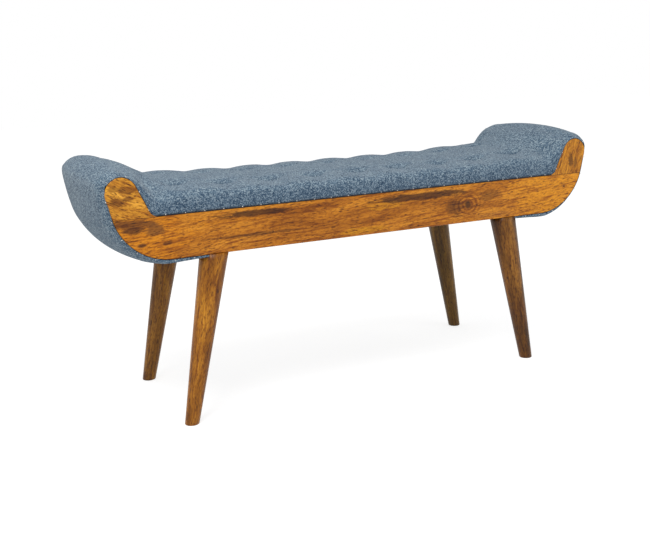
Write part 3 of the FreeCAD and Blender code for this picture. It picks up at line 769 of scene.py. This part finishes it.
def wood_material(name, tones, waviness, patches=(), knots=(), own_grain=False, slant=0.0, lacquer=True):
    """
    Wood with its grain along X. tones run from light to dark. A patch is (middle, reach, colour, strength)
    and a knot is (middle, radius), all in metres. slant turns the grain about Y.
    """
    material, tree = blank_material(name)
    if own_grain:
        place = new_node(tree, "ShaderNodeAttribute", (-1900, 0), attribute_name="grain").outputs["Vector"]
    else:
        place = new_node(tree, "ShaderNodeTexCoord", (-1900, 0)).outputs["Object"]
    turned = new_node(tree, "ShaderNodeMapping", (-1700, 0), inputs={"Rotation": (0, slant, 0)})
    grain = new_node(tree, "ShaderNodeGroup", (-1480, 0), node_tree=grain_group)
    grain.inputs["Waviness"].default_value = waviness
    ramp = new_node(tree, "ShaderNodeValToRGB", (-1250, 200))
    ramp.color_ramp.elements[0].position, ramp.color_ramp.elements[0].color = 0.32, colour(tones[0])
    ramp.color_ramp.elements[1].position, ramp.color_ramp.elements[1].color = 0.70, colour(tones[2])
    ramp.color_ramp.elements.new(0.5).color = colour(tones[1])
    wire(tree, [
        (place, turned.inputs["Vector"]),
        (turned.outputs[0], grain.inputs["Place"]),
        (grain.outputs["Figure"], ramp.inputs["Fac"]),
    ])
    paint = ramp.outputs["Color"]
    x = -950
    for middle, reach, tone, strength in patches:
        patch = new_node(tree, "ShaderNodeGroup", (x, -300), node_tree=patch_group)
        patch.inputs["Middle"].default_value, patch.inputs["Reach"].default_value = middle, reach
        patch.inputs["Raggedness"].default_value = 0.2 if tone == GLUE_SHADE else RAGGED_EDGE
        tree.links.new(place, patch.inputs["Place"])
        mask = scaled(tree, patch.outputs["Mask"], strength, x, -100)
        paint = blend_colour(tree, "MIX", x + 180, 150, mask, paint, colour(tone))
        x += 200
    for middle, radius in knots:
        patch = new_node(tree, "ShaderNodeGroup", (x, -300), node_tree=patch_group)
        patch.inputs["Middle"].default_value = middle
        patch.inputs["Reach"].default_value = (radius * 1.2, 1, radius)
        patch.inputs["Raggedness"].default_value = 1.3
        tree.links.new(warped(tree, place, 0.4 * radius, x, -900), patch.inputs["Place"])
        wave = new_node(tree, "ShaderNodeMath", (x, -500), operation="SINE")
        turns = scaled(tree, patch.outputs["Distance"], RING_TURN, x, -600)
        tree.links.new(turns, wave.inputs[0])
        ring = remap(tree, wave.outputs[0], -0.6, 0.9, x + 100, -500, (0.0, 0.6))
        ringed = blend_colour(tree, "MULTIPLY", x + 100, 0, ring, paint, colour(RING_SHADE))
        paint = blend_colour(tree, "MIX", x + 280, 150, patch.outputs["Mask"], paint, ringed)
        core = remap(tree, patch.outputs["Distance"], 0.36, 0.14, x + 100, -700, (0.0, 0.9))
        paint = blend_colour(tree, "MIX", x + 300, 300, core, paint, colour(CORE_SHADE))
        x += 300
    line = remap(tree, grain.outputs["Streaks"], 0.45, 0.72, x, -450, (0.0, 0.75))
    paint = blend_colour(tree, "MULTIPLY", x + 100, 150, line, paint, colour(STREAK_SHADE))
    speck = remap(tree, grain.outputs["Mottle"], 0.42, 0.68, x, -300, (0.0, 0.6))
    paint = blend_colour(tree, "MULTIPLY", x + 200, 150, speck, paint, colour(SPECK_SHADE))
    pores = scaled(tree, grain.outputs["Pores"], 0.8, x, -650)
    paint = blend_colour(tree, "MULTIPLY", x + 300, 150, pores, paint, colour(PORE_SHADE))
    if lacquer:
        paint = blend_colour(tree, "MULTIPLY", x + 400, 300, 1.0, paint, colour(OIL_TINT))
    coat = SATIN_COAT if lacquer else BARE_WOOD
    shader = new_node(tree, "ShaderNodeBsdfPrincipled", (x + 700, 150), inputs=coat)
    bump = new_node(tree, "ShaderNodeBump", (x + 450, -250), inputs={"Strength": 0.25, "Distance": 0.0006})
    roughness = (0.34, 0.46) if lacquer else (0.65, 0.8)
    shine = remap(tree, grain.outputs["Figure"], 0.3, 0.7, x + 450, 0, roughness)
    output = new_node(tree, "ShaderNodeOutputMaterial", (x + 1000, 150))
    wire(tree, [
        (grain.outputs["Relief"], bump.inputs["Height"]),
        (paint, shader.inputs["Base Color"]),
        (shine, shader.inputs["Roughness"]),
        (bump.outputs[0], shader.inputs["Normal"]),
        (shader.outputs[0], output.inputs["Surface"]),
    ])
    return material


print("wood material ready")

# %% [markdown]
# The patches below place what makes this bench's boards their own: the bright left end, dark streaks along
# the top edge, a large knot near the right leg, and the glue line between each rail and its ear. A board's
# places are in metres in the bench's frame, on its front or back face. A leg's are in the leg's own grain.

# %% Patches of the boards
FRONT = -163 * MM
BACK = 163 * MM
PATCH_DEPTH = 0.2


def on_face(y, rows):
    """Patches on one face, from rows of x, z, half length, half height, colour and strength."""
    return [((x, y, z), (long, PATCH_DEPTH, high), *paint) for x, z, long, high, *paint in rows]


def glue_line(side):
    """The dark line of the joint between a rail and an ear, as a patch."""
    return ((side * 0.52, FRONT, RAIL_TOP), (0.09, 1.0, 0.8 * MM), GLUE_SHADE, 0.7)


rail_patches = on_face(FRONT, [
    (-0.52, 0.385, 0.13, 0.06, "#D8881A", 0.85),
    (0.47, 0.385, 0.125, 0.06, "#E69A2C", 0.85),
    (-0.505, 0.413, 0.045, 0.010, "#7E4C22", 0.9),
    (-0.462, 0.399, 0.018, 0.012, "#82512A", 0.85),
    (-0.502, 0.402, 0.02, 0.007, "#6E3F18", 0.9),
    (-0.489, 0.372, 0.010, 0.005, "#6E401C", 0.9),
    (-0.44, 0.371, 0.011, 0.004, "#7E4C22", 0.8),
    (-0.26, 0.411, 0.075, 0.006, "#4A260B", 0.85),
    (-0.33, 0.400, 0.09, 0.004, "#C67C1C", 0.65),
    (-0.27, 0.369, 0.11, 0.003, "#6A3C16", 0.7),
    (0.03, 0.397, 0.05, 0.008, "#CE8A24", 0.85),
    (-0.02, 0.351, 0.055, 0.006, "#D08E22", 0.85),
    (0.12, 0.408, 0.11, 0.008, "#47240C", 0.85),
    (0.20, 0.377, 0.022, 0.02, "#693C14", 0.7),
    (0.29, 0.395, 0.03, 0.012, "#7A4A1E", 0.6),
    (0.30, 0.350, 0.05, 0.006, "#B4763A", 0.6),
]) + [glue_line(-1), glue_line(1)]
left_ear_patches = on_face(FRONT, [
    (-0.509, 0.477, 0.016, 0.007, "#8A5218", 0.8),
    (-0.527, 0.456, 0.014, 0.008, "#85501A", 0.8),
    (-0.507, 0.462, 0.010, 0.005, "#7C4814", 0.8),
    (-0.535, 0.481, 0.010, 0.006, "#94601F", 0.7),
]) + [glue_line(-1)]
right_ear_patches = on_face(FRONT, [
    (0.511, 0.454, 0.007, 0.014, "#6E4212", 0.85),
    (0.524, 0.448, 0.005, 0.018, "#8C5E22", 0.6),
]) + [glue_line(1)]
rail_knots = [((0.238, FRONT + 0.006, 0.384), 0.030), ((0.495, FRONT, 0.397), 0.007)]
back_rail_patches = on_face(BACK, [
    (0.40, 0.39, 0.2, 0.06, "#CC882A", 0.7),
    (-0.30, 0.37, 0.12, 0.02, "#5E3512", 0.7),
])
# The front right leg is the second leg, so its own grain starts at GRAIN_SHIFT
dark_leg_patches = [((1.96, 0.0, 1.74), (0.10, 0.012, 0.3), "#A8743A", 0.6)]
print("patches:", len(rail_patches) + len(left_ear_patches) + len(right_ear_patches))

# %% Finishes of the wood
finishes = {
    "front_rail": wood_material("mango_front_rail", ("#E2983A", "#C67D28", "#95540E"), 0.02,
                                rail_patches, rail_knots, slant=0.075),
    "back_rail": wood_material("mango_back_rail", ("#CA8B38", "#AA7029", "#7E4A12"), 0.02,
                               back_rail_patches, slant=-0.06),
    "left_ear": wood_material("mango_left_ear", ("#F4B458", "#E2A040", "#B87628"), 0.05,
                              left_ear_patches, slant=-0.35),
    "right_ear": wood_material("mango_right_ear", ("#E6A23E", "#C8842C", "#9A5C16"), 0.05,
                               right_ear_patches, slant=1.25),
    "front_left": wood_material("mango_leg_front_left", ("#CC8C34", "#A2671E", "#6C3E0C"), 0.03,
                                own_grain=True),
    "front_right": wood_material("mango_leg_front_right", ("#9A662A", "#6A4216", "#38220A"), 0.03,
                                 dark_leg_patches, own_grain=True),
    "back_left": wood_material("mango_leg_back_left", ("#A8742E", "#85581F", "#553812"), 0.012,
                               own_grain=True),
    "back_right": wood_material("mango_leg_back_right", ("#8F6A30", "#6F5020", "#4A3413"), 0.012,
                                own_grain=True),
    "raw_wood": wood_material("raw_batten", ("#D9BE94", "#C8A878", "#AD8A5A"), 0.008, lacquer=False),
    "plywood": wood_material("plywood_face", ("#DCC39A", "#CDB083", "#B69567"), 0.03, lacquer=False),
}
print("woods:", len(finishes))

# %% [markdown]
# The tweed is a heather of navy, slate and pale yarns. Every speck is one cell of a Voronoi texture on the
# cloth's own UV, in metres, so it is the same size all over. A fine weave gives the cloth its relief.

# %% Weave group
FLECK = 1.9 * MM
THREAD = 1.5 * MM
weave_group, start, end = new_group(
    "heather_weave",
    [("Place", "Vector", None), ("Fleck", "Float", FLECK), ("Thread", "Float", THREAD)],
    [("Shade", "Float"), ("Cloud", "Float"), ("Relief", "Float")],
)


def divided(tree, vector, size, x, y):
    """A place counted in cells of one size."""
    inverse = new_node(tree, "ShaderNodeMath", (x, y - 150), operation="DIVIDE")
    inverse.inputs[0].default_value = 1.0
    node = new_node(tree, "ShaderNodeVectorMath", (x + 160, y), operation="SCALE")
    wire(tree, [
        (size, inverse.inputs[1]),
        (vector, node.inputs[0]),
        (inverse.outputs[0], node.inputs["Scale"]),
    ])
    return node.outputs[0]


cloth_place, fleck_size, thread_size = (start.outputs[label] for label in ("Place", "Fleck", "Thread"))
cells = new_node(weave_group, "ShaderNodeTexVoronoi", (-850, 200), inputs={"Scale": 1.0, "Randomness": 1.0})
weave_group.links.new(divided(weave_group, cloth_place, fleck_size, -1200, 200), cells.inputs["Vector"])
single = new_node(weave_group, "ShaderNodeSeparateColor", (-650, 200))
weave_group.links.new(cells.outputs["Color"], single.inputs[0])
soft = new_node(weave_group, "ShaderNodeTexNoise", (-850, -50), inputs={"Scale": 1.0, "Detail": 2.0})
weave_group.links.new(divided(weave_group, cloth_place, fleck_size, -1200, -50), soft.inputs["Vector"])
shade = new_node(weave_group, "ShaderNodeMix", (-420, 150))
shade.inputs[0].default_value = 0.5
wire(weave_group, [(single.outputs[0], shade.inputs[2]), (soft.outputs["Fac"], shade.inputs[3])])
cloud = new_node(weave_group, "ShaderNodeTexNoise", (-850, -300), inputs={"Scale": 18.0, "Detail": 3.0})
weave_group.links.new(cloth_place, cloud.inputs["Vector"])
thread_place = divided(weave_group, cloth_place, thread_size, -1200, -550)
axes = new_node(weave_group, "ShaderNodeSeparateXYZ", (-850, -550))
weave_group.links.new(thread_place, axes.inputs[0])
waves = []
for index in range(2):
    row = -500 - 150 * index
    wave = new_node(weave_group, "ShaderNodeMath", (-450, row), operation="SINE")
    weave_group.links.new(scaled(weave_group, axes.outputs[index], math.pi, -650, row), wave.inputs[0])
    waves.append(wave.outputs[0])
product = new_node(weave_group, "ShaderNodeMath", (-250, -550), operation="MULTIPLY")
wire(weave_group, [(waves[0], product.inputs[0]), (waves[1], product.inputs[1])])
relief = new_node(weave_group, "ShaderNodeMath", (-50, -450), operation="ADD")
wire(weave_group, [
    (product.outputs[0], relief.inputs[0]),
    (soft.outputs["Fac"], relief.inputs[1]),
    (shade.outputs[0], end.inputs["Shade"]),
    (cloud.outputs["Fac"], end.inputs["Cloud"]),
    (relief.outputs[0], end.inputs["Relief"]),
])
print("weave group:", len(weave_group.nodes), "nodes")

# %% Cloth material


def cloth_material(name, tones, own_uv, fleck, thread, bump_strength):
    """Woven cloth. tones are (position, colour) pairs from dark yarn to pale yarn."""
    material, tree = blank_material(name)
    if own_uv:
        place = new_node(tree, "ShaderNodeUVMap", (-900, 0), uv_map="cloth").outputs[0]
    else:
        place = new_node(tree, "ShaderNodeTexCoord", (-900, 0)).outputs["Object"]
    weave = new_node(tree, "ShaderNodeGroup", (-700, 0), node_tree=weave_group)
    weave.inputs["Fleck"].default_value, weave.inputs["Thread"].default_value = fleck, thread
    ramp = new_node(tree, "ShaderNodeValToRGB", (-480, 100))
    for stop, (position, tone) in zip(ramp.color_ramp.elements, (tones[0], tones[-1])):
        stop.position, stop.color = position, colour(tone)
    for position, tone in tones[1:-1]:
        ramp.color_ramp.elements.new(position).color = colour(tone)
    faded = remap(tree, weave.outputs["Cloud"], 0.35, 0.65, -480, -150, (0.0, 0.22))
    paint = blend_colour(tree, "MULTIPLY", -180, 100, faded, ramp.outputs["Color"], colour("#B8C4D2"))
    if own_uv:
        near = new_node(tree, "ShaderNodeAttribute", (-700, 400), attribute_name="near_wood")
        wood_side = near.outputs["Fac"]
        # Painted shade: the upright wall near the wood is multiplied darker and bluer.
        wall = remap(tree, wood_side, 0.2, 0.75, -480, 400, (0.0, 0.3))
        paint = blend_colour(tree, "MULTIPLY", -20, 250, wall, paint, colour("#86A2C4"))
        # Painted shadow: a near-black line where the cloth meets the wood.
        painted_root_shadow = remap(tree, wood_side, 0.90, 1.0, -480, 600, (0.0, 0.85))
        paint = blend_colour(tree, "MIX", 60, 400, painted_root_shadow, paint, colour("#141C2A"))
        # Painted shade in the tufts: the cloth is darker where it is pulled in deepest.
        tuck = new_node(tree, "ShaderNodeAttribute", (-700, 700), attribute_name="tucked")
        painted_tuft_shade = scaled(tree, tuck.outputs["Fac"], 0.5, -300, 700)
        paint = blend_colour(tree, "MULTIPLY", 100, 550, painted_tuft_shade, paint, colour("#6F8198"))
    shader = new_node(tree, "ShaderNodeBsdfPrincipled", (200, 100), inputs={
        "Roughness": 0.95, "Specular IOR Level": 0.15, "Sheen Weight": 0.14, "Sheen Roughness": 0.5,
    })
    bump = new_node(tree, "ShaderNodeBump", (0, -200), inputs={"Strength": bump_strength, "Distance": 0.0004})
    output = new_node(tree, "ShaderNodeOutputMaterial", (500, 100))
    wire(tree, [
        (place, weave.inputs["Place"]),
        (weave.outputs["Shade"], ramp.inputs["Fac"]),
        (weave.outputs["Relief"], bump.inputs["Height"]),
        (paint, shader.inputs["Base Color"]),
        (bump.outputs[0], shader.inputs["Normal"]),
        (shader.outputs[0], output.inputs["Surface"]),
    ])
    return material


tweed_tones = [(0.24, "#31465A"), (0.42, "#50667A"), (0.56, "#6C8190"), (0.76, "#9FAEB6")]
tweed = cloth_material("slate_tweed", tweed_tones, True, FLECK, THREAD, 0.5)
lining_tones = [(0.3, "#17181B"), (0.7, "#2B2D31")]
black_cloth = cloth_material("black_lining", lining_tones, False, 1.2 * MM, 0.8 * MM, 0.3)
cover.data.materials.append(tweed)
lining.data.materials.append(black_cloth)
for corner, leg in legs.items():
    leg.data.materials.append(finishes[corner])
print("cloths:", tweed.name, black_cloth.name)

# %% [markdown]
# The cover is fixed with small pins along its edge. A curve follows the wood's outline on both sides, and
# Geometry Nodes set a pin head at every step of it.

# %% Steel


def steel_material(name, tone):
    """Bright zinc with a faint blotch in its shine."""
    material = bpy.data.materials.new(name)
    material.use_nodes = True
    tree = material.node_tree
    shader = next(n for n in tree.nodes if n.type == "BSDF_PRINCIPLED")
    place = new_node(tree, "ShaderNodeTexCoord", (-900, 0))
    noise = new_node(tree, "ShaderNodeTexNoise", (-700, 0), inputs={"Scale": 400.0, "Detail": 2.0})
    tree.links.new(place.outputs["Object"], noise.inputs["Vector"])
    dull = remap(tree, noise.outputs["Fac"], 0.3, 0.7, -450, -100, (0.25, 0.5))
    paint = blend_colour(tree, "MIX", -250, 150, noise.outputs["Fac"], colour(tone), colour("#E8E6E0"))
    wire(tree, [(dull, shader.inputs["Roughness"]), (paint, shader.inputs["Base Color"])])
    shader.inputs["Metallic"].default_value = 1.0
    return material


steel = steel_material("zinc_steel", "#9FA0A2")

# %% Edge pins
PIN_SPACING = 38 * MM
PIN_RADIUS = 1.1 * MM


def pin_tree():
    """Geometry nodes: pin heads at equal steps along a curve."""
    group = bpy.data.node_groups.new("pins_along_edge", "GeometryNodeTree")
    sockets = {}
    wanted = [("Edge", "Geometry", None), ("Spacing", "Float", PIN_SPACING), ("Radius", "Float", PIN_RADIUS),
              ("Finish", "Material", None)]
    for label, kind, value in wanted:
        socket = group.interface.new_socket(label, in_out="INPUT", socket_type="NodeSocket" + kind)
        sockets[label] = socket.identifier
        if value is not None:
            socket.default_value = value
    group.interface.new_socket("Pins", in_out="OUTPUT", socket_type="NodeSocketGeometry")
    start = new_node(group, "NodeGroupInput", (-800, 0))
    steps = new_node(group, "GeometryNodeResampleCurve", (-600, 100), mode="LENGTH")
    head = new_node(group, "GeometryNodeMeshIcoSphere", (-600, -150), inputs={"Subdivisions": 2})
    flat = new_node(group, "GeometryNodeTransform", (-400, -150), inputs={"Scale": (1.0, 0.55, 1.0)})
    place = new_node(group, "GeometryNodeInstanceOnPoints", (-200, 50))
    real = new_node(group, "GeometryNodeRealizeInstances", (0, 50))
    paint = new_node(group, "GeometryNodeSetMaterial", (200, 50))
    end = new_node(group, "NodeGroupOutput", (400, 50))
    wire(group, [
        (start.outputs["Edge"], steps.inputs["Curve"]),
        (start.outputs["Spacing"], steps.inputs["Length"]),
        (start.outputs["Radius"], head.inputs["Radius"]),
        (head.outputs["Mesh"], flat.inputs["Geometry"]),
        (steps.outputs[0], place.inputs["Points"]),
        (flat.outputs[0], place.inputs["Instance"]),
        (place.outputs[0], real.inputs[0]),
        (real.outputs[0], paint.inputs["Geometry"]),
        (start.outputs["Finish"], paint.inputs["Material"]),
        (paint.outputs[0], end.inputs[0]),
    ])
    return group, sockets


pin_group, pin_sockets = pin_tree()
PIN_RISE, PIN_OUT = 2.2 * MM, 1.0 * MM
roots, walls = guides[:, 0], guides[:, 1]
rise = (walls - roots) / np.linalg.norm(walls - roots, axis=1)[:, None]
pin_line = roots + rise * PIN_RISE
for side, label in ((-1, "front"), (1, "back")):
    curve = bpy.data.curves.new("pins_" + label, "CURVE")
    curve.dimensions = "3D"
    spline = curve.splines.new("POLY")
    spline.points.add(len(pin_line) - 1)
    for point, (x, z) in zip(spline.points, pin_line):
        point.co = (x, side * (PAD_HALF + PIN_OUT), z, 1)
    holder = add_object("edge_line_" + label, curve)
    modifier = holder.modifiers.new("pins", "NODES")
    modifier.node_group = pin_group
    modifier[pin_sockets["Finish"]] = steel
    made = bpy.data.meshes.new_from_object(holder.evaluated_get(bpy.context.evaluated_depsgraph_get()))
    made.name = "edge_pins_" + label
    made.polygons.foreach_set("use_smooth", [True] * len(made.polygons))
    pins = add_object("edge_pins_" + label, made)
    bpy.data.objects.remove(holder)
    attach(pins, "root")
    print(pins.name, len(made.polygons), "faces")

# %% [markdown]
# All other pieces come from the construction as they are, most of them hidden: battens, dowels, screws and
# twine. Each only needs the material of its slot. The rails and ears get the boards made above.

# %% Finish of the carried-over pieces
twine = cloth_material("waxed_twine", [(0.3, "#B9AE96"), (0.7, "#E2D9C4")], False, 0.9 * MM, 0.7 * MM, 0.4)
foam = cloth_material("cut_foam", [(0.3, "#D8CFA0"), (0.7, "#EFE8C8")], False, 1.6 * MM, 1.0 * MM, 0.4)
by_slot = {
    "raw_wood": finishes["raw_wood"],
    "plywood": finishes["plywood"],
    "zinc_steel": steel,
    "twine": twine,
    "foam": foam,
    "tweed": tweed,
    "lining": black_cloth,
    "oiled_wood": finishes["back_rail"],
}
dressed = []
for name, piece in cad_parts.items():
    for holder in piece.material_slots:
        known = (key for key in by_slot if holder.material and key in holder.material.name)
        slot_name = next(known, "raw_wood")
        holder.material = by_slot[slot_name]
        if name in finishes:
            holder.material = finishes[name]
        if name.endswith("_ear"):
            holder.material = finishes["left_ear" if "left" in name else "right_ear"]
        dressed.append((name, slot_name))
print("dressed:", len(dressed), "of", len(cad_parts), dressed[:4])
